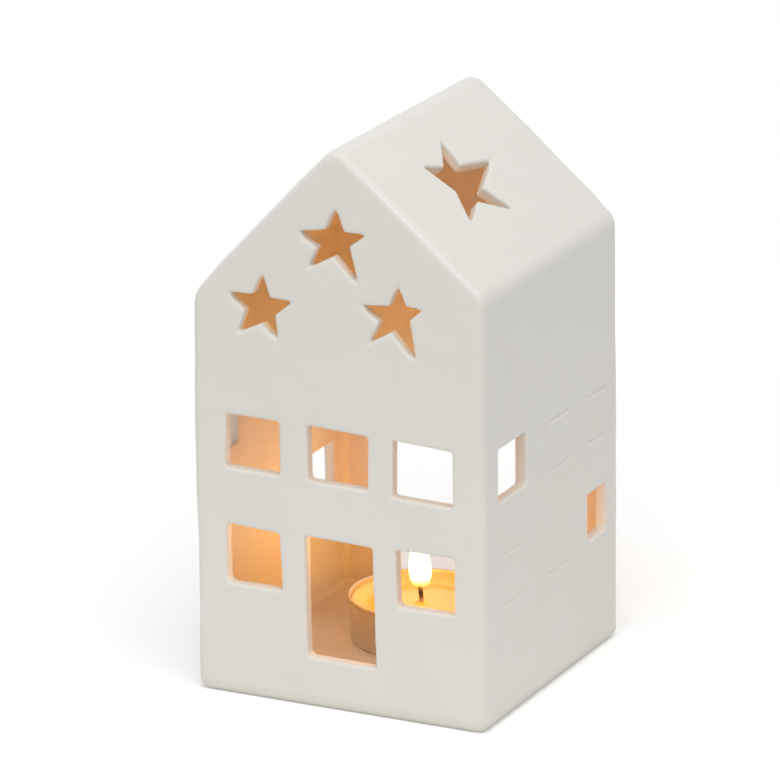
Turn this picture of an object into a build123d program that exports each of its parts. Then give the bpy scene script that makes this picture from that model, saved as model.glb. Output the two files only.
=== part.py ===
from build123d import *
import os

# A ceramic tealight house: one hollow slip-cast body with windows and stars cut through its walls,
# and a standard tealight that slides in over the floor through the arched opening in the back.
# Millimetres. The origin is in the middle of the base, the front wall faces -Y and +Z is up.

# House: outer form, with one eave lower than the other as the casting came out
house_width = 80
house_depth = 79
ridge_height = 145.7
left_eave_share = 0.711
right_eave_share = 0.7666
left_eave_radius = 8
right_eave_radius = 5.5
ridge_radius = 4.3
base_edge_radius = 3
outer_edge_radius = 1.8

# House: hollow inside
wall = 3.3
floor_thickness = 4
inner_eave_radius = 3.5
inner_ridge_radius = 2
inner_edge_chamfer = 1.2

# House: windows and door of the front wall. Sizes across it are shares of the house's width
window_width_share = 0.19
window_height = 14.2
sharp_corner_radius = 0.45
soft_corner_radius = 1.4
column_spacing_share = 0.2925
upper_row_height = 66
lower_row_height = 36.9
door_width_share = 0.22375
door_sill_height = 13
door_head_height = 43.9
rim_chamfer = 0.4

# The openings were cut by hand, so each differs a little. Each line of shares is one window: its column,
# then its corners from the lower left round to the upper left, in window widths and heights from its middle
upper_window_shares = (
    (-1, (-0.507, -0.451), (0.482, -0.468), (0.480, 0.511), (-0.480, 0.528)),
    (0, (-0.540, -0.475), (0.530, -0.500), (0.543, 0.465), (-0.545, 0.518)),
    (1, (-0.553, -0.560), (0.503, -0.592), (0.508, 0.403), (-0.545, 0.465)),
)
lower_window_shares = (
    (-1, (-0.500, -0.532), (0.497, -0.532), (0.450, 0.507), (-0.503, 0.560)),
    (1, (-0.493, -0.500), (0.530, -0.500), (0.528, 0.530), (-0.513, 0.532)),
)
door_shares = ((0, (-0.500, -0.500), (0.545, -0.508), (0.508, 0.505), (-0.522, 0.523)),)

# House: the side walls carry two rows of three, partly cut through and partly only scored
side_window_width = 14
side_window_height = 13.6
side_column_spacing = 25
score_width = 0.9
score_depth = 0.45
side_upper_scored_shares = (
    (0.136, -0.206, 0.993, 0.993),
    (1.08, -0.22, 0.857, 0.956),
)
side_lower_scored_shares = (
    (-0.922, -0.015, 1.18, 1.05),
    (0.136, -0.05, 0.993, 1.007),
)

# Cut windows of the right wall and of the left wall. Each line of shares is one window: its column in
# column spacings, its rise over the row in window heights, and its own width and height
right_upper_cut_shares = ((-0.932, -0.123, 1.157, 1.004),)
right_lower_cut_shares = ((1.064, 0.022, 0.81, 0.904),)
left_upper_cut_shares = ((-1.088, 0.066, 0.857, 1),)
left_lower_cut_shares = ((0.946, 0.051, 0.979, 1.03),)

# House: access opening in the back wall
arch_width_share = 0.625
arch_height = 61

# House: stars of the front gable. Places across are shares of the house's width, heights and tip radii
# are shares of the ridge's height
top_star_across_share = -0.00875
top_star_height_share = 0.8257
top_star_radius_share = 0.0714
left_star_across_share = -0.2625
left_star_height_share = 0.6987
left_star_radius_share = 0.0659
right_star_across_share = 0.1925
right_star_height_share = 0.7069
right_star_radius_share = 0.0686

# House: star of each roof slope, placed down the slope from the ridge
roof_star_down_share = 0.306
roof_star_forward = 2.7
roof_star_radius_share = 0.185

# Star outlines in turn, tip and inner corner: the share of the tip radius, and the angle in degrees
top_star_shares = (
    (0.98, 85), (0.40, 117), (0.99, 167), (0.41, 196), (0.92, 224),
    (0.27, 274), (1.15, 306), (0.44, 363), (0.95, 382), (0.47, 409),
)
left_star_shares = (
    (0.98, 85), (0.39, 119), (1.02, 161), (0.42, 195), (0.97, 229),
    (0.40, 278), (1.03, 302), (0.46, 344), (1.01, 377), (0.44, 405),
)
right_star_shares = (
    (0.97, 81), (0.39, 104), (0.99, 162), (0.36, 190), (0.92, 224),
    (0.28, 262), (1.21, 302), (0.46, 372), (0.90, 386), (0.55, 410),
)
roof_star_shares = (
    (1.04, 95), (0.32, 147), (0.88, 161), (0.49, 217), (0.99, 234),
    (0.57, 277), (1.14, 305), (0.49, 324), (0.95, 386), (0.29, 393),
)

# Tealight cup, drawn from thin aluminium
cup_rim_diameter = 37.8
cup_base_diameter = 36
cup_height = 12
cup_wall = 0.3
rim_bead_radius = 0.45
rim_bead_sides = 6
cup_base_chamfer = 0.3
base_foot_width = 3
base_step_height = 0.5
tealight_across = -0.5
tealight_back = 7.5

# Candle that stands in the cup
wax_clearance = 0.2
wax_height = 8.4
wax_edge_rise = 0.5
wax_edge_width = 1.6
holder_diameter = 12.5
holder_thickness = 0.3
holder_neck_diameter = 2.6
holder_neck_height = 5
wick_diameter = 1.3
wick_free_length = 5.6
wick_straight_length = 1.5
wick_lean = 0.5
wick_clearance = 0.05

# How far a cut runs on past the face that it opens
overrun = 2

# Worked out from the sizes above
half_width = house_width / 2
half_depth = house_depth / 2
left_eave_height = ridge_height * left_eave_share
right_eave_height = ridge_height * right_eave_share
window_width = house_width * window_width_share
column_spacing = house_width * column_spacing_share
door_width = house_width * door_width_share
door_height = door_head_height - door_sill_height
door_middle_height = door_sill_height + door_height / 2
cut_reach = wall + overrun
eave_search_height = left_eave_height - wall * 2
arch_width = house_width * arch_width_share
arch_radius = arch_width / 2
cup_floor_height = floor_thickness + base_step_height + cup_wall
wax_top = cup_floor_height + wax_height
wick_top = wax_top + wick_free_length
wick_bore_radius = wick_diameter / 2 + wick_clearance
bead_axis_radius = cup_rim_diameter / 2 - rim_bead_radius
cup_rim_radius = bead_axis_radius - rim_bead_radius + cup_wall
bead_height = floor_thickness + cup_height - rim_bead_radius
step_radius = cup_base_diameter / 2 - base_foot_width
cup_taper = (cup_rim_radius - cup_base_diameter / 2) / (bead_height - floor_thickness)
wax_base_radius = cup_base_diameter / 2 - cup_wall + cup_taper * base_step_height - wax_clearance
wax_edge_radius = wax_base_radius + cup_taper * wax_height
tealight_axis = Axis((tealight_across, tealight_back, 0), (0, 0, 1))
tealight_plane = Plane(origin=(tealight_across, tealight_back, 0), x_dir=(1, 0, 0), z_dir=(0, -1, 0))


def gable_outline():
    """Sharp-cornered section of the outer form, seen from the front."""
    with BuildSketch() as section:
        with BuildLine():
            Polyline(
                (-half_width, 0),
                (half_width, 0),
                (half_width, right_eave_height),
                (0, ridge_height),
                (-half_width, left_eave_height),
                close=True,
            )
        make_face()
    return section.sketch


def star_outline(shares, radius):
    """Five-pointed star from its table of tips and inner corners."""
    corners = [Vector(share * radius, 0).rotate(Axis.Z, angle) for share, angle in shares]
    with BuildSketch() as star:
        with BuildLine():
            Polyline(*corners, close=True)
        make_face()
    return star.sketch


def hand_cut_row(shares, width, height, lower_left_radius):
    """One row of four-cornered openings in the front wall, each with its own hand-cut corners."""
    rising = Axis((0, 0, 0), (1, 1, 0))
    with BuildSketch() as row:
        for column, *corners in shares:
            with BuildSketch(mode=Mode.PRIVATE) as opening:
                with BuildLine():
                    Polyline(*[(across * width, up * height) for across, up in corners], close=True)
                make_face()
                fillet(vertices().sort_by(rising)[1:], sharp_corner_radius)
                fillet(vertices().sort_by(rising)[0], lower_left_radius)
            with Locations((column * column_spacing, 0)):
                add(opening.sketch)
    return row.sketch


def side_windows(upper_shares, lower_shares, margin):
    """Both rows of windows in a side wall, drawn in from their outlines by the margin."""
    with BuildSketch() as rows:
        for shares, row_height in ((upper_shares, upper_row_height), (lower_shares, lower_row_height)):
            for column, rise, width, height in shares:
                with Locations((column * side_column_spacing, row_height + rise * side_window_height)):
                    Rectangle(
                        side_window_width * width - margin * 2,
                        side_window_height * height - margin * 2,
                    )
    return rows.sketch


def roof_plane(side):
    """Plane on a roof slope: x runs down the slope from the ridge and z points outwards."""
    drop = ridge_height - (right_eave_height if side > 0 else left_eave_height)
    return Plane(
        origin=(0, 0, ridge_height),
        x_dir=(side * half_width, 0, -drop),
        z_dir=(side * drop, 0, half_width),
    )


# Outer form of the house
with BuildPart() as outer_form:
    with BuildSketch(Plane.XZ.offset(half_depth)):
        add(gable_outline())
        fillet(vertices().group_by(Axis.Y)[0], base_edge_radius)
        fillet(vertices().group_by(Axis.Y)[-1], ridge_radius)
        fillet(vertices().group_by(Axis.X)[0].sort_by(Axis.Y)[-1], left_eave_radius)
        fillet(vertices().group_by(Axis.X)[-1].sort_by(Axis.Y)[-1], right_eave_radius)
    extrude(amount=-house_depth)
    fillet(faces().sort_by(Axis.Y)[0].edges() + faces().sort_by(Axis.Y)[-1].edges(), outer_edge_radius)

# Hollow of the house, which the walls surround
with BuildPart() as hollow:
    with BuildSketch(Plane.XZ.offset(half_depth - wall)):
        add(gable_outline())
        offset(amount=-wall, kind=Kind.INTERSECTION, mode=Mode.REPLACE)
        Rectangle(house_width, floor_thickness * 2, mode=Mode.SUBTRACT)
        fillet(vertices().group_by(Axis.Y)[-1], inner_ridge_radius)
        inner_eaves = vertices().filter_by_position(Axis.Y, eave_search_height, right_eave_height)
        fillet(inner_eaves, inner_eave_radius)
    extrude(amount=-(house_depth - wall * 2))
    front_and_back = faces().sort_by(Axis.Y)[0].edges() + faces().sort_by(Axis.Y)[-1].edges()
    floor_sides = faces().sort_by(Axis.Z)[0].edges().filter_by(Axis.Y)
    chamfer(front_and_back + floor_sides, inner_edge_chamfer)

# House shell: one casting, with every opening cut through its wall
with BuildPart() as house_shell:
    add(outer_form.part)
    add(hollow.part, mode=Mode.SUBTRACT)

    # Windows, door and stars of the front
    with BuildSketch(Plane.XZ.offset(half_depth)):
        with Locations((0, upper_row_height)):
            add(hand_cut_row(upper_window_shares, window_width, window_height, sharp_corner_radius))
        with Locations((0, lower_row_height)):
            add(hand_cut_row(lower_window_shares, window_width, window_height, soft_corner_radius))
        with Locations((0, door_middle_height)):
            add(hand_cut_row(door_shares, door_width, door_height, soft_corner_radius))
        with Locations((house_width * top_star_across_share, ridge_height * top_star_height_share)):
            add(star_outline(top_star_shares, ridge_height * top_star_radius_share))
        with Locations((house_width * left_star_across_share, ridge_height * left_star_height_share)):
            add(star_outline(left_star_shares, ridge_height * left_star_radius_share))
        with Locations((house_width * right_star_across_share, ridge_height * right_star_height_share)):
            add(star_outline(right_star_shares, ridge_height * right_star_radius_share))
    extrude(amount=cut_reach, both=True, mode=Mode.SUBTRACT)

    # One star through each roof slope
    for side in (1, -1):
        with BuildSketch(roof_plane(side)):
            with Locations((house_width * roof_star_down_share, -side * roof_star_forward)):
                add(star_outline(roof_star_shares, house_width * roof_star_radius_share))
        extrude(amount=cut_reach, both=True, mode=Mode.SUBTRACT)

    # Side windows: two in each wall are cut through
    with BuildSketch(Plane.YZ):
        add(side_windows(right_upper_cut_shares, right_lower_cut_shares, 0))
    extrude(amount=half_width + overrun, mode=Mode.SUBTRACT)
    with BuildSketch(Plane.YZ):
        add(side_windows(left_upper_cut_shares, left_lower_cut_shares, 0))
    extrude(amount=-(half_width + overrun), mode=Mode.SUBTRACT)

    # Access arch in the back wall, level with the floor inside
    with BuildSketch(Plane.XZ):
        with Locations((0, (floor_thickness + arch_height - arch_radius) / 2)):
            Rectangle(arch_width, arch_height - arch_radius - floor_thickness)
        with Locations((0, arch_height - arch_radius)):
            Circle(arch_radius)
    extrude(amount=-(half_depth + overrun), mode=Mode.SUBTRACT)

    # Rims of all these openings, eased where they meet the outer faces
    outer_faces = faces().filter_by(Axis.Y).sort_by(SortBy.AREA)[-2:]
    outer_faces += faces().filter_by(Axis.X).sort_by(SortBy.AREA)[-2:]
    outer_faces += faces().filter_by(roof_plane(1)).sort_by(SortBy.AREA)[-1:]
    outer_faces += faces().filter_by(roof_plane(-1)).sort_by(SortBy.AREA)[-1:]
    chamfer([edge for face in outer_faces for rim in face.inner_wires() for edge in rim.edges()], rim_chamfer)

    # Side windows that are only scored into the wall
    for side in (1, -1):
        with BuildSketch(Plane.YZ.offset(side * half_width)):
            add(side_windows(side_upper_scored_shares, side_lower_scored_shares, 0))
            add(
                side_windows(side_upper_scored_shares, side_lower_scored_shares, score_width),
                mode=Mode.SUBTRACT,
            )
        extrude(amount=-side * score_depth, mode=Mode.SUBTRACT)
house_shell.part.label = "house_shell"

# Tealight cup: stepped base, tapered side and a rolled bead at the rim
with BuildPart() as tealight_cup:
    with BuildSketch(tealight_plane):
        with BuildLine():
            Polyline(
                (0, floor_thickness + base_step_height),
                (step_radius, floor_thickness + base_step_height),
                (step_radius + base_step_height, floor_thickness),
                (cup_base_diameter / 2, floor_thickness),
                (cup_rim_radius, bead_height),
                (cup_rim_radius - cup_wall, bead_height),
                (cup_base_diameter / 2 - cup_wall, floor_thickness + cup_wall),
                (step_radius + base_step_height, floor_thickness + cup_wall),
                (step_radius, cup_floor_height),
                (0, cup_floor_height),
                close=True,
            )
        make_face()
        chamfer(vertices().group_by(Axis.Y)[0].sort_by(Axis.X)[-1], cup_base_chamfer)
        with Locations((bead_axis_radius, bead_height)):
            RegularPolygon(rim_bead_radius, side_count=rim_bead_sides)
    revolve(axis=tealight_axis)
tealight_cup.part.label = "tealight_cup"

# Wick holder: a tin disc on the cup's floor with a crimped neck
with BuildPart() as wick_holder:
    with BuildSketch(tealight_plane):
        with Locations((0, cup_floor_height)):
            Rectangle(holder_diameter / 2, holder_thickness, align=(Align.MIN, Align.MIN))
            Rectangle(holder_neck_diameter / 2, holder_neck_height, align=(Align.MIN, Align.MIN))
            Rectangle(wick_bore_radius, holder_neck_height, align=(Align.MIN, Align.MIN), mode=Mode.SUBTRACT)
    revolve(axis=tealight_axis)
wick_holder.part.label = "wick_holder"

# Wick: straight through holder and wax, then leaning over a little
with BuildPart() as wick:
    with BuildLine(tealight_plane):
        Line((0, cup_floor_height), (0, wax_top + wick_straight_length))
        TangentArc((0, wax_top + wick_straight_length), (-wick_lean, wick_top), tangent=Vector(0, 0, 1))
    with BuildSketch(Plane(origin=(tealight_across, tealight_back, cup_floor_height))):
        Circle(wick_diameter / 2)
    sweep()
wick.part.label = "wick"

# Wax: fills the cup to a little under its rim, with a low edge left round the melted pool
with BuildPart() as wax_fill:
    with BuildSketch(tealight_plane):
        with BuildLine():
            Polyline(
                (wick_bore_radius, cup_floor_height),
                (wax_base_radius, cup_floor_height),
                (wax_edge_radius, wax_top + wax_edge_rise),
                (wax_edge_radius - wax_edge_width / 2, wax_top + wax_edge_rise),
                (wax_edge_radius - wax_edge_width, wax_top),
                (wick_bore_radius, wax_top),
                close=True,
            )
        make_face()
        with Locations((0, cup_floor_height)):
            Rectangle(
                holder_diameter / 2 + wick_clearance,
                holder_thickness + wick_clearance,
                align=(Align.MIN, Align.MIN),
                mode=Mode.SUBTRACT,
            )
            Rectangle(
                holder_neck_diameter / 2 + wick_clearance,
                holder_neck_height + wick_clearance,
                align=(Align.MIN, Align.MIN),
                mode=Mode.SUBTRACT,
            )
    revolve(axis=tealight_axis)
wax_fill.part.label = "wax_fill"

os.makedirs("parts", exist_ok=True)
for piece in (house_shell, tealight_cup, wick_holder, wick, wax_fill):
    export_step(piece.part, f"parts/{piece.part.label}.step")
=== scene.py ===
import math

import bmesh
import bpy
from mathutils import Matrix, Vector


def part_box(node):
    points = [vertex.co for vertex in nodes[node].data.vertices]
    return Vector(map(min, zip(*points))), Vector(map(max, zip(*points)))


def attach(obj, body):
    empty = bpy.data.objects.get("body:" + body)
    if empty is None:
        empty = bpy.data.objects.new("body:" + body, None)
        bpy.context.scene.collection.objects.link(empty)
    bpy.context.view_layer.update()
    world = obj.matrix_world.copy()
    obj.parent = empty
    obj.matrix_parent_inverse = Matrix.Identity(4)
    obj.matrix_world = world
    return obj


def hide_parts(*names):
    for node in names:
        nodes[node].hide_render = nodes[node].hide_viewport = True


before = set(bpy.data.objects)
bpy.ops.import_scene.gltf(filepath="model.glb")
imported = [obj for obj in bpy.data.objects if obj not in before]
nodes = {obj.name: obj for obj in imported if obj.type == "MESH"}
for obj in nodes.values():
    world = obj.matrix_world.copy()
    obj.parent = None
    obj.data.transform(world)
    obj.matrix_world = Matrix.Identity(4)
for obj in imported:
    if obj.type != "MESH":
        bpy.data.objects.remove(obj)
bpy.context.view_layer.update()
scene = bpy.context.scene
scene.view_settings.view_transform = "Standard"

MM = 0.001


# Node trees, written as sums on sockets

class Socket:
    """An output of a node tree, so that sums on it add their Math nodes."""

    def __init__(self, maker, socket):
        self.maker = maker
        self.socket = socket

    def __add__(self, other):
        return self.maker.math("ADD", self, other)

    def __sub__(self, other):
        return self.maker.math("SUBTRACT", self, other)

    def __rsub__(self, other):
        return self.maker.math("SUBTRACT", other, self)

    def __mul__(self, other):
        return self.maker.math("MULTIPLY", self, other)

    def __truediv__(self, other):
        return self.maker.math("DIVIDE", self, other)

    def __rtruediv__(self, other):
        return self.maker.math("DIVIDE", other, self)

    __radd__ = __add__
    __rmul__ = __mul__


class Maker:
    """Adds nodes to one tree, for a material, for the world or for a geometry modifier."""

    def __init__(self, tree):
        self.tree = tree

    def feed(self, node, sockets):
        """Sets or links a node's sockets, by name or number. A list is joined into its one socket."""
        for name, value in sockets.items():
            socket = node.inputs[name]
            if isinstance(value, Socket):
                self.tree.links.new(value.socket, socket)
            elif isinstance(value, list):
                for part in value:
                    self.tree.links.new(part.socket, socket)
            elif socket.type == "RGBA":
                socket.default_value = (*value, 1.0)
            else:
                socket.default_value = value

    def add(self, kind, settings=None, sockets=None):
        """A node of that type: settings first, then the values or links of its sockets."""
        node = self.tree.nodes.new(kind)
        for name, value in (settings or {}).items():
            if name == "stops":
                ramp = node.color_ramp
                while len(ramp.elements) < len(value):
                    ramp.elements.new(0.5)
                for element, (place, colour) in zip(ramp.elements, value):
                    element.position = place
                    element.color = (*colour, 1.0)
            else:
                setattr(node, name, value)
        self.feed(node, sockets or {})
        return node

    def out(self, kind, settings=None, sockets=None, output=0):
        """The same, giving one of the node's outputs to go on with."""
        return Socket(self, self.add(kind, settings, sockets).outputs[output])

    def math(self, operation, *values):
        return self.out("ShaderNodeMath", {"operation": operation}, dict(enumerate(values)))

    def vector(self, operation, *values):
        output = "Value" if operation in ("LENGTH", "DISTANCE") else "Vector"
        return self.out("ShaderNodeVectorMath", {"operation": operation}, dict(enumerate(values)), output)

    def scaled(self, vector, amount):
        sockets = {0: vector, "Scale": amount}
        return self.out("ShaderNodeVectorMath", {"operation": "SCALE"}, sockets, "Vector")

    def xyz(self, vector):
        parts = self.add("ShaderNodeSeparateXYZ", None, {"Vector": vector})
        return [Socket(self, parts.outputs[name]) for name in ("X", "Y", "Z")]

    def join(self, x, y, z):
        return self.out("ShaderNodeCombineXYZ", None, {"X": x, "Y": y, "Z": z})

    def place(self):
        """Where a point of a finished surface lies, in metres from the middle of the house's underside."""
        return self.out("ShaderNodeTexCoord", output="Object")

    def step(self, value, low, high):
        """0 below low, 1 above high and a smooth rise between them."""
        return self.out(
            "ShaderNodeMapRange",
            {"interpolation_type": "SMOOTHSTEP"},
            {"Value": value, "From Min": low, "From Max": high},
        )

    def band(self, value, rise, fall):
        """1 between a smooth rise and a smooth fall, each given by its start and end, and 0 outside them."""
        return self.step(value, *rise) * (1 - self.step(value, *fall))

    def noise(self, place, scale, detail=2.0, roughness=0.5):
        return self.out(
            "ShaderNodeTexNoise",
            {"noise_dimensions": "3D"},
            {"Vector": place, "Scale": scale, "Detail": detail, "Roughness": roughness},
            "Fac",
        )

    def sway(self, noise, amount):
        """Noise about its middle, times an amount."""
        return (noise - 0.5) * amount

    def mix(self, factor, first, second):
        """Colour mix, from first at 0 to second at 1."""
        return self.out("ShaderNodeMix", {"data_type": "RGBA"}, {0: factor, 6: first, 7: second}, 2)

    def tint(self, tone, colour, mask, share):
        """The tone, moved by that share towards a colour where the mask is 1."""
        return self.mix(mask * share, tone, colour)

    def bump(self, height, strength, distance, under=None):
        """A bump on the plain surface, or on another bump under it."""
        sockets = {"Height": height, "Strength": strength, "Distance": distance}
        if under is not None:
            sockets["Normal"] = under
        return self.out("ShaderNodeBump", None, sockets)


def empty_tree(owner):
    """The maker for a material's or the world's own tree, with no nodes in it yet."""
    owner.use_nodes = True
    owner.node_tree.nodes.clear()
    return Maker(owner.node_tree)


def new_material(name):
    """A material with its maker and its shader, already joined to the output."""
    material = bpy.data.materials.new(name)
    maker = empty_tree(material)
    shader = maker.add("ShaderNodeBsdfPrincipled")
    maker.add("ShaderNodeOutputMaterial", None, {"Surface": Socket(maker, shader.outputs[0])})
    return material, maker, shader


def straight_view(maker):
    """1 for what the camera sees, also in gloss or through glass, and 0 for light that a surface gets."""
    rays = maker.add("ShaderNodeLightPath")
    seen = Socket(maker, rays.outputs["Is Camera Ray"])
    seen = maker.math("MAXIMUM", seen, Socket(maker, rays.outputs["Is Glossy Ray"]))
    return maker.math("MAXIMUM", seen, Socket(maker, rays.outputs["Is Transmission Ray"]))


# Meshes and geometry trees

same_place = 1e-6


def apply_modifiers(obj):
    """Makes what the object's modifiers give its plain mesh, and removes them."""
    bpy.context.view_layer.update()
    evaluated = obj.evaluated_get(bpy.context.evaluated_depsgraph_get())
    made = bpy.data.meshes.new_from_object(evaluated)
    made.name = obj.name
    obj.modifiers.clear()
    obj.data = made


def shape_by_tree(obj, name, rule, sizes, material):
    """Builds a geometry tree with named inputs, runs it on the object and keeps the result as its plain mesh.

    The rule gets the tree's maker and its inputs by name, and gives the geometry that it makes of them.
    A zone, which is given by its start and end, has an input for each.
    """
    numbers = {}
    for title, value in sizes.items():
        if isinstance(value, tuple):
            numbers[f"{title} Start"], numbers[f"{title} End"] = value
        else:
            numbers[title] = value
    tree = bpy.data.node_groups.new(name, "GeometryNodeTree")
    tree.interface.new_socket(name="Geometry", in_out="INPUT", socket_type="NodeSocketGeometry")
    tree.interface.new_socket(name="Geometry", in_out="OUTPUT", socket_type="NodeSocketGeometry")
    identifiers = {}
    for title, value in numbers.items():
        kind = "NodeSocketInt" if isinstance(value, int) else "NodeSocketFloat"
        item = tree.interface.new_socket(name=title, in_out="INPUT", socket_type=kind)
        item.default_value = value
        identifiers[title] = item.identifier
    maker = Maker(tree)
    group_in = maker.add("NodeGroupInput")
    inputs = {title: Socket(maker, group_in.outputs[title]) for title in ("Geometry", *numbers)}
    for title in sizes:
        if title not in numbers:
            inputs[title] = inputs[f"{title} Start"], inputs[f"{title} End"]
    shaped = rule(maker, inputs)
    realized = maker.out("GeometryNodeRealizeInstances", None, {"Geometry": shaped})
    painted = maker.out("GeometryNodeSetMaterial", None, {"Geometry": realized, "Material": material})
    maker.add("NodeGroupOutput", None, {"Geometry": painted})
    modifier = obj.modifiers.new("shape", "NODES")
    modifier.node_group = tree
    for title, value in numbers.items():
        modifier[identifiers[title]] = value
    apply_modifiers(obj)


def new_object(name, vertices, faces):
    mesh = bpy.data.meshes.new(name)
    mesh.from_pydata([tuple(v) for v in vertices], [], faces)
    mesh.validate()
    mesh.update()
    obj = bpy.data.objects.new(name, mesh)
    scene.collection.objects.link(obj)
    return obj


def smooth(obj):
    for polygon in obj.data.polygons:
        polygon.use_smooth = True


def merge_doubles(obj, turn_outwards=True):
    """Merges points in the same place and, where asked, turns all faces outwards."""
    shape = bmesh.new()
    shape.from_mesh(obj.data)
    bmesh.ops.remove_doubles(shape, verts=shape.verts, dist=same_place)
    if turn_outwards:
        bmesh.ops.recalc_face_normals(shape, faces=shape.faces)
    shape.to_mesh(obj.data)
    shape.free()
    obj.data.update()


def keep_largest_part(obj):
    """Deletes the loose specks that a voxel remesh can leave in a wall."""
    shape = bmesh.new()
    shape.from_mesh(obj.data)
    seen, parts = set(), []
    for start in shape.verts:
        if start.index in seen:
            continue
        seen.add(start.index)
        part = [start]
        for vertex in part:
            for edge in vertex.link_edges:
                other = edge.other_vert(vertex)
                if other.index not in seen:
                    seen.add(other.index)
                    part.append(other)
        parts.append(part)
    parts.sort(key=len)
    bmesh.ops.delete(shape, geom=[vertex for part in parts[:-1] for vertex in part], context="VERTS")
    shape.to_mesh(obj.data)
    shape.free()


def lathe(name, profile, centre, turns):
    """A closed shape turned about an upright axis, from points (radius, height). Both ends have radius 0."""
    vertices, faces, rings = [], [], []
    for radius, height in profile:
        if radius == 0:
            rings.append([len(vertices)])
            vertices.append((centre[0], centre[1], height))
            continue
        rings.append(list(range(len(vertices), len(vertices) + turns)))
        for k in range(turns):
            angle = math.tau * k / turns
            x, y = centre[0] + radius * math.cos(angle), centre[1] + radius * math.sin(angle)
            vertices.append((x, y, height))
    for lower, upper in zip(rings, rings[1:]):
        for k in range(turns):
            after = (k + 1) % turns
            below = [lower[k % len(lower)], lower[after % len(lower)]]
            above = [upper[after % len(upper)], upper[k % len(upper)]]
            corners = list(dict.fromkeys(below + above))
            if len(corners) > 2:
                faces.append(corners)
    obj = new_object(name, vertices, faces)
    merge_doubles(obj)
    smooth(obj)
    return obj


def stand_for(obj, body, node):
    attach(obj, body)
    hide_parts(node)


# Camera, found from the house's own edges in the photograph. Its distance and its target are in millimetres.

photo_pixels = 780
focal_pixels = 6319.32
film_width = 36
camera_distance = 1580.74
turn, rise, roll = math.radians(26.501), math.radians(17.873), math.radians(-0.636)
target = Vector((-4.995, 0, 71.469)) * MM
away = Vector((math.sin(turn) * math.cos(rise), -math.cos(turn) * math.cos(rise), math.sin(rise)))
level = Vector((math.cos(turn), math.sin(turn), 0))
upright = level.cross(-away)
across = level * math.cos(roll) + upright * math.sin(roll)
over = upright * math.cos(roll) - level * math.sin(roll)
camera_data = bpy.data.cameras.new("camera")
camera_data.lens = film_width * focal_pixels / photo_pixels
camera_data.clip_start = 0.05
camera_data.clip_end = 20
camera = bpy.data.objects.new("camera", camera_data)
view = Matrix((across, over, away)).transposed().to_4x4()
view.translation = target + away * camera_distance * MM
camera.matrix_world = view
scene.collection.objects.link(camera)
bpy.context.scene.camera = camera


# Sizes that the pieces share, in metres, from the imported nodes. The ridge and the eaves are the heights of
# the gable's sharp corners, before its edges are rounded.

house_low, house_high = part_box("house_shell")
half_width = (house_high.x - house_low.x) / 2
half_depth = (house_high.y - house_low.y) / 2
ridge_height, right_eave, left_eave = 0.1457, 0.1117, 0.1036

cup_low, cup_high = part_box("tealight_cup")
cup_foot, cup_top = cup_low.z, cup_high.z
cup_radius = (cup_high.x - cup_low.x) / 2
tealight_centre = ((cup_low + cup_high) / 2).to_3d()
tealight_centre.z = 0

pool_depth = 0.0005
wax_low, wax_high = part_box("wax_fill")
wax_top = wax_high.z - pool_depth
wax_radius = (wax_high.x - wax_low.x) / 2

flame_height, flame_overlap = 0.0185, 0.0030
wick_low, wick_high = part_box("wick")
wick_tip = wick_high.z
flame_foot = wick_tip - flame_overlap
flame_tip = flame_foot + flame_height


# Finishes. Zones and sizes in them are in metres; noise thresholds and shares run from 0 to 1.

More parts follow.
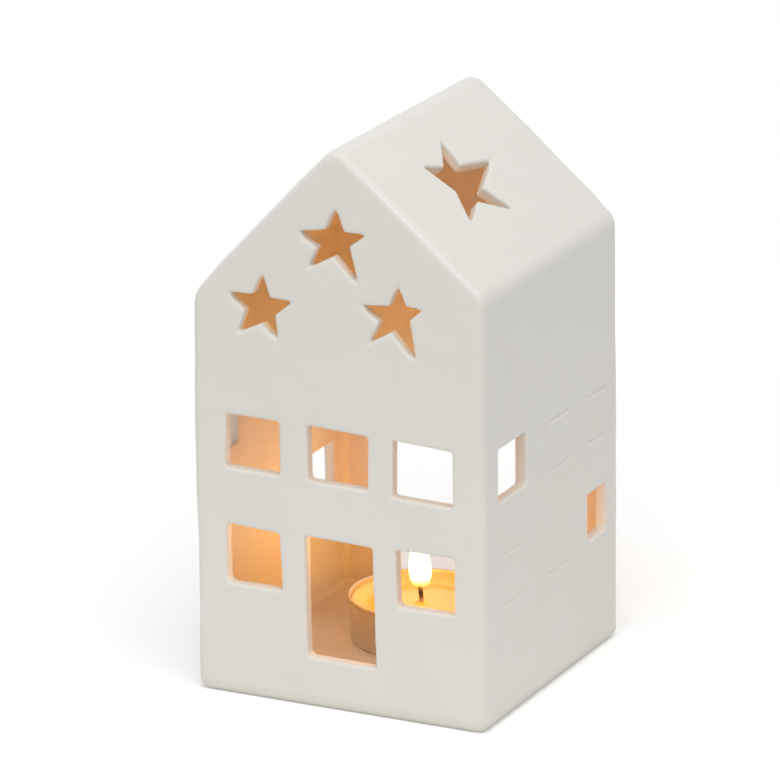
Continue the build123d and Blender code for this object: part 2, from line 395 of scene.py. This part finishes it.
def ceramic_finish():
    """Matte slip-cast ceramic: cream outside, darker upwards as painted shade and with a painted highlight on
    its gable edges, and bare clay inside, toned by zones of painted light and shade.
    """
    cream_warm, cream_pale, cream_patch = (0.882, 0.842, 0.768), (0.900, 0.868, 0.802), (0.892, 0.866, 0.812)
    cream_shaded_top, painted_highlight_white = (0.820, 0.792, 0.733), (0.96, 0.96, 0.95)
    pore_brown, foot_brown = (0.71, 0.655, 0.565), (0.75, 0.71, 0.62)
    clay_dark, clay_light, clay_daylight = (0.92, 0.84, 0.70), (0.94, 0.87, 0.75), (0.97, 0.93, 0.88)
    clay_low_shade, clay_back_shade = (0.76, 0.64, 0.45), (0.80, 0.72, 0.68)
    clay_candle_glow, clay_roof_light, floor_daylight = (0.985, 0.82, 0.54), (0.96, 0.82, 0.66), (0.95, 0.91, 0.83)
    sponge_stretch = (1, 1, 0.35)
    edge_highlight_reach, clay_start = (0.0003, 0.0009), (0.0024, 0.0034)
    clay_ragged, glow_sooner = 0.0006, 0.0012

    material, maker, shader = new_material("white_ceramic")
    place = maker.place()
    x, y, z = maker.xyz(place)
    clouds = maker.noise(place, scale=38, detail=3, roughness=0.55)
    patches = maker.noise(place, scale=120)
    grain = maker.noise(place, scale=2600, detail=3, roughness=0.6)
    pores = maker.noise(place, scale=900)
    sponge = maker.noise(maker.vector("MULTIPLY", place, sponge_stretch), scale=420, detail=4, roughness=0.62)

    # Outside: cream in soft clouds, darker upwards as painted shade, with patches, pores and a darker foot
    pits = maker.step(pores, 0.69, 0.76)
    foot = 1 - maker.step(z, 0.0006, 0.0042)
    upward_shade = maker.step(z, 0.0, 0.12)
    cream = maker.mix(maker.step(clouds, 0.32, 0.68), cream_warm, cream_pale)
    cream = maker.tint(cream, cream_patch, maker.step(patches, 0.35, 0.7), share=0.35)
    cream = maker.tint(cream, cream_shaded_top, upward_shade, share=0.9)
    cream = maker.tint(cream, pore_brown, pits, share=0.10)
    cream = maker.tint(cream, foot_brown, foot, share=0.35)

    # How deep a point lies under the outer form. The edges between gables and roof get a painted highlight,
    # paler than the cream.
    to_side = half_width - maker.math("ABSOLUTE", x)
    to_gable = half_depth - maker.math("ABSOLUTE", y)
    to_slopes = []
    for side, eave in ((1, right_eave), (-1, left_eave)):
        drop = ridge_height - eave
        slope = math.hypot(half_width, drop)
        to_slopes.append((ridge_height - z) * (half_width / slope) - x * (side * drop / slope))
    to_roof = maker.math("MINIMUM", *to_slopes)
    depth = maker.math("MINIMUM", to_side, maker.math("MINIMUM", to_gable, to_roof))
    edge_highlight_mask = (1 - maker.step(to_gable, *edge_highlight_reach)) * (1 - maker.step(to_roof, *edge_highlight_reach))
    cream = maker.mix(edge_highlight_mask, cream, painted_highlight_white)

    # The cuts turn from cream to bare clay on their way in, and sooner in the stars, so that their jambs
    # carry the painted candle glow
    stars = maker.band(z, rise=(0.086, 0.094), fall=(0.136, 0.139))
    inside = maker.step(depth + stars * glow_sooner + maker.sway(patches, clay_ragged), *clay_start)

    # Inside: bare clay, toned by zones of painted light and shade: painted shade low down and at the back,
    # painted daylight below the middle and a painted warm candle glow above it, paler under the roof. The
    # floor is painted daylit at the front and shaded further back.
    walls = maker.step(z, 0.0043, 0.0056)
    low_shade_mask = walls * (1 - maker.step(z, 0.019, 0.039))
    back_shade_mask = maker.step(y, 0.012, 0.030) * maker.band(z, rise=(0.018, 0.030), fall=(0.052, 0.066))
    daylight_mask = maker.band(z, rise=(0.038, 0.054), fall=(0.060, 0.074)) * (1 - back_shade_mask)
    floor_shade_mask = maker.step(y, -0.004, 0.018)
    # The upper zone holds the painted candle glow, and the zone under the roof a paler painted light
    upper = maker.step(z, 0.063, 0.079)
    roof_light_mask = maker.step(z, 0.100, 0.112)
    bare = maker.mix(maker.step(clouds, 0.3, 0.7), clay_dark, clay_light)
    for zone, colour in ((low_shade_mask, clay_low_shade), (back_shade_mask, clay_back_shade), (daylight_mask, clay_daylight)):
        bare = maker.mix(zone, bare, colour)
    bare = maker.mix(walls, maker.mix(floor_shade_mask, floor_daylight, clay_low_shade), bare)
    for zone, colour in ((upper, clay_candle_glow), (roof_light_mask, clay_roof_light)):
        bare = maker.mix(zone, bare, colour)

    soft = maker.bump(patches, strength=0.25, distance=0.0004)
    marks = maker.bump(sponge, strength=0.22, distance=0.00022, under=soft)
    fine = maker.bump(grain, strength=0.16, distance=0.00006, under=marks)
    rough = 0.42 + maker.sway(sponge, 0.20) + maker.sway(grain, 0.10) + foot * 0.14 + inside * 0.22
    maker.feed(shader, {
        "Base Color": maker.mix(inside, cream, bare),
        "Roughness": rough,
        "Normal": maker.bump(1 - pits, strength=0.14, distance=0.00008, under=fine),
        "IOR": 1.5,
        "Specular IOR Level": 0.5,
        "Sheen Weight": 0.06,
        "Sheen Roughness": 0.6,
    })
    return material


def aluminium_finish():
    """Thin drawn aluminium: upright draw lines, slight stains, an amber rim that is partly wax and partly a
    painted reflection of the glowing wax, and a soft satin shine.
    """
    sheet_dark, sheet_light = (0.62, 0.60, 0.57), (0.76, 0.74, 0.71)
    stain_brown, wax_and_glow_amber = (0.62, 0.57, 0.50), (0.74, 0.55, 0.33)
    lines_round, lines_up = 60, 90

    material, maker, shader = new_material("drawn_aluminium")
    place = maker.place()
    x, y, z = maker.xyz(maker.vector("SUBTRACT", place, tuple(tealight_centre)))
    angle = maker.math("ARCTAN2", y, x)
    around = maker.join(angle * lines_round, 0.0, z * lines_up)
    lines = maker.noise(around, scale=3.0, detail=4, roughness=0.65)
    stains = maker.noise(place, scale=160, detail=3, roughness=0.6)
    # Amber at the rim: partly wax, partly a painted reflection of the glowing wax
    amber_rim_mask = maker.step(z, cup_top - 0.0016, cup_top - 0.0007)
    tone = maker.mix(maker.step(lines, 0.3, 0.7), sheet_dark, sheet_light)
    tone = maker.tint(tone, stain_brown, maker.step(stains, 0.5, 0.8), share=0.35)
    tone = maker.tint(tone, wax_and_glow_amber, amber_rim_mask, share=0.7)
    uneven = maker.bump(stains, strength=0.2, distance=0.0003)
    maker.feed(shader, {
        "Base Color": tone,
        "Metallic": 1.0,
        "Roughness": 0.42 + maker.sway(lines, 0.28) + maker.step(stains, 0.45, 0.8) * 0.16,
        "Normal": maker.bump(lines, strength=0.25, distance=0.00012, under=uneven),
    })
    return material


def wax_finish():
    """Paraffin wax: milky and translucent, amber and glossy where it has melted, and matte round its edge."""
    milk_dark, milk_light, melted = (0.83, 0.63, 0.32), (0.86, 0.68, 0.38), (0.78, 0.50, 0.12)
    light_reach = (0.006, 0.0034, 0.0016)
    shore, shore_ragged = (0.0122, 0.0152), 0.003

    material, maker, shader = new_material("paraffin_wax")
    place = maker.place()
    x, y, _ = maker.xyz(maker.vector("SUBTRACT", place, tuple(tealight_centre)))
    radius = maker.vector("LENGTH", maker.join(x, y, 0.0))
    bloom = maker.noise(place, scale=620, detail=4, roughness=0.65)
    waves = maker.noise(place, scale=170)
    edge = maker.step(radius + maker.sway(waves, shore_ragged), *shore)
    milk = maker.mix(maker.step(bloom, 0.35, 0.7), milk_dark, milk_light)
    swell = maker.bump(waves, strength=0.3, distance=0.0004)
    maker.feed(shader, {
        "Base Color": maker.mix(edge, melted, milk),
        "Roughness": 0.12 + edge * 0.36 + maker.sway(bloom, 0.1),
        "Normal": maker.bump(bloom * edge, strength=0.3, distance=0.0001, under=swell),
        "IOR": 1.44,
        "Subsurface Weight": 0.9,
        "Subsurface Radius": light_reach,
        "Subsurface Scale": 1.0,
    })
    return material


def wick_finish():
    """Braided cotton, cream in the wax, charred black above it and glowing at its tip."""
    cotton_cream, char_black, ash_grey = (0.62, 0.52, 0.36), (0.028, 0.020, 0.016), (0.13, 0.11, 0.10)
    no_glow, ember_red = (0.0, 0.0, 0.0), (1.0, 0.24, 0.04)
    ragged = 0.0012
    char_start, ember_start = (wax_top + 0.0002, wax_top + 0.0022), (wick_tip - 0.0016, wick_tip - 0.0002)

    material, maker, shader = new_material("charred_cotton")
    place = maker.place()
    z = maker.xyz(place)[2]
    fuzz = maker.noise(place, scale=2400, detail=4, roughness=0.7)
    ash = maker.noise(place, scale=900, detail=3, roughness=0.6)
    char = maker.step(z + maker.sway(ash, ragged), *char_start)
    ember = maker.step(z + maker.sway(fuzz, ragged), *ember_start)
    tone = maker.mix(char, cotton_cream, char_black)
    tone = maker.tint(tone, ash_grey, maker.step(ash, 0.55, 0.8) * char, share=0.5)
    maker.feed(shader, {
        "Base Color": tone,
        "Roughness": 0.75 + maker.sway(fuzz, 0.3),
        "Emission Color": maker.mix(ember, no_glow, ember_red),
        "Emission Strength": 1.0,
        "Normal": maker.bump(fuzz, strength=0.6, distance=0.0002),
    })
    return material


def steel_finish():
    """Tinned sheet with faint rolling lines and dull spots, for the wick holder under the wax."""
    tin_dark, tin_light, spot_brown = (0.56, 0.56, 0.55), (0.66, 0.66, 0.65), (0.47, 0.44, 0.40)
    rolling_stretch = (0.08, 1, 1)

    material, maker, shader = new_material("tinned_steel")
    place = maker.place()
    lines = maker.noise(maker.vector("MULTIPLY", place, rolling_stretch), scale=3000, detail=3, roughness=0.6)
    spots = maker.noise(place, scale=500, detail=3, roughness=0.6)
    tone = maker.mix(maker.step(lines, 0.35, 0.65), tin_dark, tin_light)
    tone = maker.tint(tone, spot_brown, maker.step(spots, 0.55, 0.8), share=0.3)
    maker.feed(shader, {
        "Base Color": tone,
        "Metallic": 1.0,
        "Roughness": 0.34 + maker.sway(lines, 0.2),
        "Normal": maker.bump(lines, strength=0.2, distance=0.00005),
    })
    return material


def flame_finish(stops, strength):
    """Glowing gas. Each stop gives its colour and its thickness at a share of the height over the wick."""
    material, maker, shader = new_material("flame_gas")
    z = maker.xyz(maker.place())[2]
    share = (z - flame_foot) / (flame_tip - flame_foot)
    colours = [(at, colour) for at, colour, _ in stops]
    thicknesses = [(at, (thickness, thickness, thickness)) for at, _, thickness in stops]
    maker.feed(shader, {
        "Base Color": (0.0, 0.0, 0.0),
        "Roughness": 1.0,
        "Specular IOR Level": 0.0,
        "Emission Color": maker.out("ShaderNodeValToRGB", {"stops": colours}, {"Fac": share}, "Color"),
        "Emission Strength": strength,
        "Alpha": maker.out("ShaderNodeValToRGB", {"stops": thicknesses}, {"Fac": share}, "Color"),
    })
    return material


# House: the casting, with its edges worn soft and its walls slightly uneven

cast_voxel, cast_voxel_quick = 0.36 * MM, 0.9 * MM
wear_strength, wear_rounds, wear_rounds_quick = 0.5, 5, 2
most_triangles = 190000

# Points of the front stars: each one's place across and up, and how far its end is drawn in, in millimetres.
# The pull fades out at star_reach from the point. The front wall starts at front_share of half the depth.
star_points = (
    (0.19, 130.46, 0.07, -0.55), (-10.74, 122.62, 0.85, 0.25), (6.33, 110.63, -0.35, 0.65),
    (-20.18, 111.17, 0.15, -0.45), (-30.26, 104.99, 0.65, 0.10), (-15.76, 93.41, -0.20, 1.05),
    (16.92, 112.57, 0.07, -0.60), (5.99, 106.05, 1.05, 0.28), (21.81, 92.74, -0.22, 1.20),
)
star_reach = 3.6
lowest_star = 88 * MM
front_share = 0.9


def cast_surface(maker, inputs):
    """Waves along the normals, as a mould and a sponge leave them, and the slow bends of walls and ridge."""
    seed_steps = (0.37, 0.19, 0.53)
    place = maker.out("GeometryNodeInputPosition")
    normal = maker.out("GeometryNodeInputNormal")
    x, y, z = maker.xyz(place)
    shifted = maker.vector("ADD", place, maker.join(*(inputs["Seed"] * step for step in seed_steps)))
    slow = maker.noise(shifted, scale=inputs["Wave Density"])
    quick = maker.noise(shifted, scale=inputs["Ripple Density"])
    depth = maker.sway(slow, inputs["Wave Depth"]) * 2 + maker.sway(quick, inputs["Ripple Depth"]) * 2
    off_table = maker.step(z, *inputs["Foot"])
    waves = maker.scaled(normal, depth * off_table)

    left_wall, right_wall = maker.step(x * -1, *inputs["Left Wall"]), maker.step(x, *inputs["Right Wall"])
    waist = maker.band(z, rise=inputs["Waist Rise"], fall=inputs["Waist Fall"])
    left_in = maker.step(z, *inputs["Left Lean Rise"]) * inputs["Left Lean"] + waist * inputs["Left Waist"]
    high = maker.step(z, *inputs["Right Lean Rise"]) * inputs["Right High Share"]
    right_in = (inputs["Right Low Share"] + high) * inputs["Right Lean"]
    right_in = right_in * maker.step(y, *inputs["Right Back"])
    push = left_wall * left_in - right_wall * right_in * off_table
    gable = maker.step(maker.math("ABSOLUTE", y), *inputs["Gable"])
    sag = maker.step(z, *inputs["Ridge"]) * inputs["Ridge Sag"] * (1 + gable * inputs["Gable Extra Sag"])

    offset = maker.vector("ADD", waves, maker.join(push, 0.0, 0.0 - sag))
    return maker.out("GeometryNodeSetPosition", None, {"Geometry": inputs["Geometry"], "Offset": offset})


def draw_in_star_points(house):
    """Moves the ends of the star cuts in the front wall, within the wall's own plane."""
    for vertex in house.data.vertices:
        if vertex.co.y > half_depth * -front_share or vertex.co.z < lowest_star:
            continue
        across, up = vertex.co.x / MM, vertex.co.z / MM
        for point_across, point_up, over, lift in star_points:
            near = 1 - ((across - point_across) ** 2 + (up - point_up) ** 2) / star_reach ** 2
            if near > 0:
                vertex.co.x += over * near * near * MM
                vertex.co.z += lift * near * near * MM


def make_house():
    shell = nodes["house_shell"].data
    faces = [list(polygon.vertices) for polygon in shell.polygons]
    house = new_object("ceramic_house", [vertex.co for vertex in shell.vertices], faces)
    merge_doubles(house, turn_outwards=False)
    remesh = house.modifiers.new("cast", "REMESH")
    remesh.mode = "VOXEL"
    remesh.voxel_size = cast_voxel
    wear = house.modifiers.new("edge_highlight_mask", "SMOOTH")
    wear.factor = wear_strength
    wear.iterations = wear_rounds
    apply_modifiers(house)
    shape_by_tree(house, "cast_surface", cast_surface, {
        "Wave Depth": 0.00018,
        "Wave Density": 55.0,
        "Ripple Depth": 0.00004,
        "Ripple Density": 240.0,
        "Foot": (0.0008, 0.004),
        "Left Wall": (0.031, 0.0366),
        "Left Lean": 0.0005,
        "Left Lean Rise": (0.064, 0.102),
        "Left Waist": 0.0004,
        "Waist Rise": (0.008, 0.024),
        "Waist Fall": (0.034, 0.056),
        "Right Wall": (0.033, 0.0365),
        "Right Lean": 0.0004,
        "Right Lean Rise": (0.066, 0.088),
        "Right Back": (-0.03, 0.034),
        "Right Low Share": 0.5,
        "Right High Share": 0.7,
        "Ridge": (0.134, 0.1435),
        "Ridge Sag": 0.00025,
        "Gable": (0.033, 0.0395),
        "Gable Extra Sag": 0.4,
        "Seed": 11,
    }, ceramic_finish())
    triangles = sum(len(p.vertices) - 2 for p in house.data.polygons)
    if triangles > most_triangles:
        thin = house.modifiers.new("thin", "DECIMATE")
        thin.ratio = most_triangles / triangles
        apply_modifiers(house)
    keep_largest_part(house)
    draw_in_star_points(house)
    smooth(house)
    stand_for(house, "house", "house_shell")


make_house()


# Tealight cup: drawn sheet with a stepped base, a rolled rim and its draw wrinkles

def draw_wrinkles(maker, inputs):
    """Upright wrinkles round a drawn cup, on its side only and uneven in depth and spacing."""
    seed_step, least, swing = 1.7, 0.4, 1.2
    x, y, z = maker.xyz(maker.out("GeometryNodeInputPosition"))
    x, y = x - inputs["Centre X"], y - inputs["Centre Y"]
    angle = maker.math("ARCTAN2", y, x)
    share = (z - inputs["Foot"]) / (inputs["Top"] - inputs["Foot"])
    side = maker.band(share, rise=inputs["Side Rise"], fall=inputs["Side Fall"])
    spot = maker.join(angle * inputs["Spots Round"], z * inputs["Spots Up"], inputs["Seed"] * seed_step)
    uneven = maker.noise(spot, scale=inputs["Spot Density"])
    wave = maker.math("SINE", angle * inputs["Wrinkles"] + uneven * inputs["Wander"])
    push = wave * inputs["Depth"] * side * (least + uneven * swing)
    offset = maker.scaled(maker.vector("NORMALIZE", maker.join(x, y, 0.0)), push)
    return maker.out("GeometryNodeSetPosition", None, {"Geometry": inputs["Geometry"], "Offset": offset})


def rounded(points, corners):
    """A line with some of its corners rounded: corners gives how far from each the round begins, by index."""
    arc_steps = 6
    line = []
    for k, point in enumerate(points):
        if k not in corners:
            line.append(tuple(point))
            continue
        here, before, after = Vector(point), Vector(points[k - 1]), Vector(points[k + 1])
        first = here + (before - here).normalized() * corners[k]
        last = here + (after - here).normalized() * corners[k]
        for step in range(arc_steps + 1):
            t = step / arc_steps
            line.append(tuple(first * (1 - t) ** 2 + here * 2 * t * (1 - t) + last * t ** 2))
    return line


def make_cup():
    sheet, bead = 0.3 * MM, 0.45 * MM
    base, step_foot, step_top, step_height = 18.0 * MM, 15.5 * MM, 14.6 * MM, 0.5 * MM
    inner_step_foot, inner_step_top = 15.4 * MM, 14.5 * MM
    step_clearance = 0.02 * MM
    bead_parts, bead_half_turns = 16, 1.9
    rim = cup_radius - 2 * bead + sheet
    foot, inside = cup_foot, cup_foot + sheet
    outer = rounded([
        (0, foot + step_height), (step_top, foot + step_height), (step_foot, foot + step_clearance),
        (base, foot), (rim, cup_top - bead),
    ], {1: 0.4 * MM, 2: 0.4 * MM, 3: 0.8 * MM})
    lip = []
    for k in range(bead_parts + 1):
        angle = math.pi * (1.0 - bead_half_turns * k / bead_parts)
        lip.append((cup_radius - bead + bead * math.cos(angle), cup_top - bead + bead * math.sin(angle)))
    inner = rounded([
        (rim - sheet, cup_top - bead), (base - sheet, inside), (inner_step_foot, inside),
        (inner_step_top, foot + step_height + sheet), (0, foot + step_height + sheet),
    ], {1: 0.5 * MM, 2: 0.3 * MM, 3: 0.3 * MM})
    # The ends at the rim only give the walls their directions: the bead takes their place
    profile = outer[:-1] + [(rim, cup_top - 2 * bead)] + lip[::-1] + inner[1:]
    cup = lathe("drawn_cup", profile, tealight_centre, turns=288)
    shape_by_tree(cup, "draw_wrinkles", draw_wrinkles, {
        "Wrinkles": 96,
        "Depth": 0.00007,
        "Wander": 5.0,
        "Spots Round": 4.0,
        "Spots Up": 60.0,
        "Spot Density": 1.5,
        "Side Rise": (0.10, 0.35),
        "Side Fall": (0.86, 0.93),
        "Foot": cup_foot,
        "Top": cup_top,
        "Centre X": tealight_centre.x,
        "Centre Y": tealight_centre.y,
        "Seed": 4,
    }, aluminium_finish())
    smooth(cup)
    stand_for(cup, "tealight", "tealight_cup")


make_cup()


# Wax: a melted pool round the wick, and an edge that creeps up the cup

def make_wax():
    creep, lip, lip_round = 0.0009, 0.0003, 0.0002
    bank_width, bank_parts = 0.0036, 10
    pool_rings = (0.0120, 0.0095, 0.0065, 0.0040, 0.0022)
    mound = ((0.0013, 0.00012), (0.0009, 0.00035), (0, 0.00035))
    base, edge, crest = wax_low.z, wax_high.z, wax_high.z + creep
    profile = [
        (0, base), (wax_radius - lip, base), (wax_radius, edge), (wax_radius, crest - lip_round),
        (wax_radius - lip_round / 2, crest), (wax_radius - lip, crest),
    ]
    for k in range(1, bank_parts + 1):
        t = k / bank_parts
        profile.append((wax_radius - lip - bank_width * t, wax_top + (crest - wax_top) * (1 - t) ** 2))
    profile += [(radius, wax_top) for radius in pool_rings]
    profile += [(radius, wax_top + height) for radius, height in mound]
    piece = lathe("wax_body", profile, tealight_centre, turns=128)
    piece.data.materials.append(wax_finish())
    stand_for(piece, "candle", "wax_fill")


make_wax()


# Wick: three twisted strands that lean over as they burn, in the tin holder's neck

def twisted_strands(maker, inputs):
    """Strands twisted round each other along an upright line that leans over, towards -X, at its top."""
    strands, points, sides = 3, 72, 10
    strand_step = 0.012
    tubes = []
    for strand in range(strands):
        line = maker.out(
            "GeometryNodeCurvePrimitiveLine", None, {"Start": (0.0, 0.0, 0.0), "End": (0.0, 0.0, 1.0)},
        )
        line = maker.out("GeometryNodeResampleCurve", None, {"Curve": line, "Count": points})
        share = maker.out("GeometryNodeSplineParameter", output="Factor")
        angle = share * inputs["Turns"] * math.tau + math.tau * strand / strands
        taper = 1 - maker.step(share, *inputs["Taper"]) * inputs["Tip Narrowing"]
        lean = maker.step(share, *inputs["Bend"]) * inputs["Lean"] * inputs["Lean Factor"]
        spread = inputs["Twist Radius"] * taper
        shorter = 1 - strand_step * strand
        x = inputs["Centre X"] + maker.math("COSINE", angle) * spread + lean
        y = inputs["Centre Y"] + maker.math("SINE", angle) * spread
        z = inputs["Foot"] + (inputs["Tip"] - inputs["Foot"]) * (share * shorter)
        bent = maker.out("GeometryNodeSetPosition", None, {"Geometry": line, "Position": maker.join(x, y, z)})
        ring = maker.out(
            "GeometryNodeCurvePrimitiveCircle", None,
            {"Resolution": sides, "Radius": inputs["Strand Radius"]},
        )
        tubes.append(maker.out(
            "GeometryNodeCurveToMesh", None, {"Curve": bent, "Profile Curve": ring, "Fill Caps": True},
        ))
    return maker.out("GeometryNodeJoinGeometry", None, {"Geometry": tubes})


def make_wick():
    wick = new_object("twisted_wick", [(0, 0, 0)], [])
    shape_by_tree(wick, "twisted_strands", twisted_strands, {
        "Foot": wick_low.z,
        "Tip": wick_high.z - 0.0001,
        "Bend": (0.68, 1.15),
        "Lean": 0.0005,
        "Lean Factor": -1.6,
        "Taper": (0.86, 1.0),
        "Tip Narrowing": 0.45,
        "Strand Radius": 0.00034,
        "Twist Radius": 0.00030,
        "Turns": 6.0,
        "Centre X": tealight_centre.x,
        "Centre Y": tealight_centre.y,
    }, wick_finish())
    merge_doubles(wick)
    smooth(wick)
    stand_for(wick, "candle", "wick")


make_wick()
nodes["wick_holder"].data.materials.clear()
nodes["wick_holder"].data.materials.append(steel_finish())


# Flame: a shell of glowing gas, which also lights the house from inside

def make_flame(width, lean, material):
    """A teardrop over the wick, fullest below its middle, that leans along X towards its tip."""
    parts, belly, fullness, slimming = 26, 0.72, 0.9, 0.35
    profile = []
    for k in range(parts + 1):
        t = k / parts
        bulge = math.sin(math.pi * t ** belly) ** fullness * (1 - slimming * t)
        radius = width / 2 * bulge if 0 < k < parts else 0
        profile.append((radius, flame_foot + (flame_tip - flame_foot) * t))
    piece = lathe("flame", profile, tealight_centre, turns=40)
    for vertex in piece.data.vertices:
        vertex.co.x += lean * ((vertex.co.z - flame_foot) / (flame_tip - flame_foot))
    piece.data.materials.append(material)
    piece.visible_shadow = False
    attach(piece, "candle")


make_flame(width=0.0065, lean=-0.0009, material=flame_finish([
    (0.0, (0.0001, 0.0002, 0.0008), 0.03),
    (0.06, (0.020, 0.0080, 0.0010), 0.10),
    (0.12, (0.060, 0.0300, 0.0060), 0.45),
    (0.19, (0.26, 0.118, 0.023), 0.92),
    (0.30, (1.0, 0.46, 0.092), 1.0),
    (0.92, (1.0, 0.46, 0.092), 1.0),
    (1.0, (0.5, 0.2, 0.035), 0.5),
], strength=26.4))


# Table, background and lamps

table_half = 3
lamp_aim = Vector((0, 0, 0.07))


def table_finish():
    """Plain white table that keeps the house's soft shadow, with a painted warm patch of candlelight behind
    it.

    It fades to white further away. The light that it throws back on the house comes off a plain pale grey.
    """
    bounce_grey, top_white, candle_patch_white = (0.80, 0.80, 0.79), (1.0, 1.0, 0.99), (0.95, 0.85, 0.80)
    pure_white = (1.0, 1.0, 1.0)
    candle_patch_centre, candle_patch_fade = (-0.03, 0.075, 0.0), (0.018, 0.052)
    white_fade = (0.09, 0.26)
    lift_strength = 0.20

    material = bpy.data.materials.new("white_table")
    maker = empty_tree(material)
    seen = straight_view(maker)
    place = maker.place()
    # Painted pool of candlelight on the table behind the house
    painted_candle_patch = 1 - maker.step(maker.vector("DISTANCE", place, candle_patch_centre), *candle_patch_fade)
    tone = maker.mix(seen, bounce_grey, maker.mix(painted_candle_patch, top_white, candle_patch_white))
    plain = maker.out("ShaderNodeBsdfDiffuse", None, {"Color": tone})
    lift = maker.out("ShaderNodeEmission", None, {"Color": pure_white, "Strength": seen * lift_strength})
    near = maker.out("ShaderNodeAddShader", None, {0: plain, 1: lift})
    white = maker.out("ShaderNodeEmission", None, {"Color": pure_white, "Strength": 1.0})
    faded = maker.step(maker.vector("LENGTH", place), *white_fade) * seen
    both = maker.out("ShaderNodeMixShader", None, {0: faded, 1: near, 2: white})
    maker.add("ShaderNodeOutputMaterial", None, {"Surface": both})
    return material


def make_surround():
    """Pale studio light all round, whose strength is 1 where the camera sees it and less where it lights."""
    light_strength, sky_white = 0.48, (0.98, 0.99, 1.0)
    world = bpy.data.worlds.new("studio")
    scene.world = world
    maker = empty_tree(world)
    strength = straight_view(maker) * (1 - light_strength) + light_strength
    surround = maker.out("ShaderNodeBackground", None, {"Color": sky_white, "Strength": strength})
    maker.add("ShaderNodeOutputWorld", None, {"Surface": surround})


def soft_lamp(name, place, size, energy):
    data = bpy.data.lights.new(name, "AREA")
    data.shape = "SQUARE"
    data.size = size
    data.energy = energy
    lamp = bpy.data.objects.new(name, data)
    lamp.location = place
    lamp.rotation_euler = (Vector(place) - lamp_aim).to_track_quat("Z", "Y").to_euler()
    lamp.visible_camera = False
    lamp.visible_glossy = False
    scene.collection.objects.link(lamp)


table_corners = [(table_half * x, table_half * y, 0) for x, y in ((-1, -1), (1, -1), (1, 1), (-1, 1))]
table = new_object("table", table_corners, [(0, 1, 2, 3)])
table.data.materials.append(table_finish())
make_surround()
soft_lamp("lamp_above", place=(0.22, -0.32, 0.99), size=0.8, energy=5.5)
soft_lamp("lamp_low", place=(-0.04, -0.46, 0.04), size=0.3, energy=0.20)
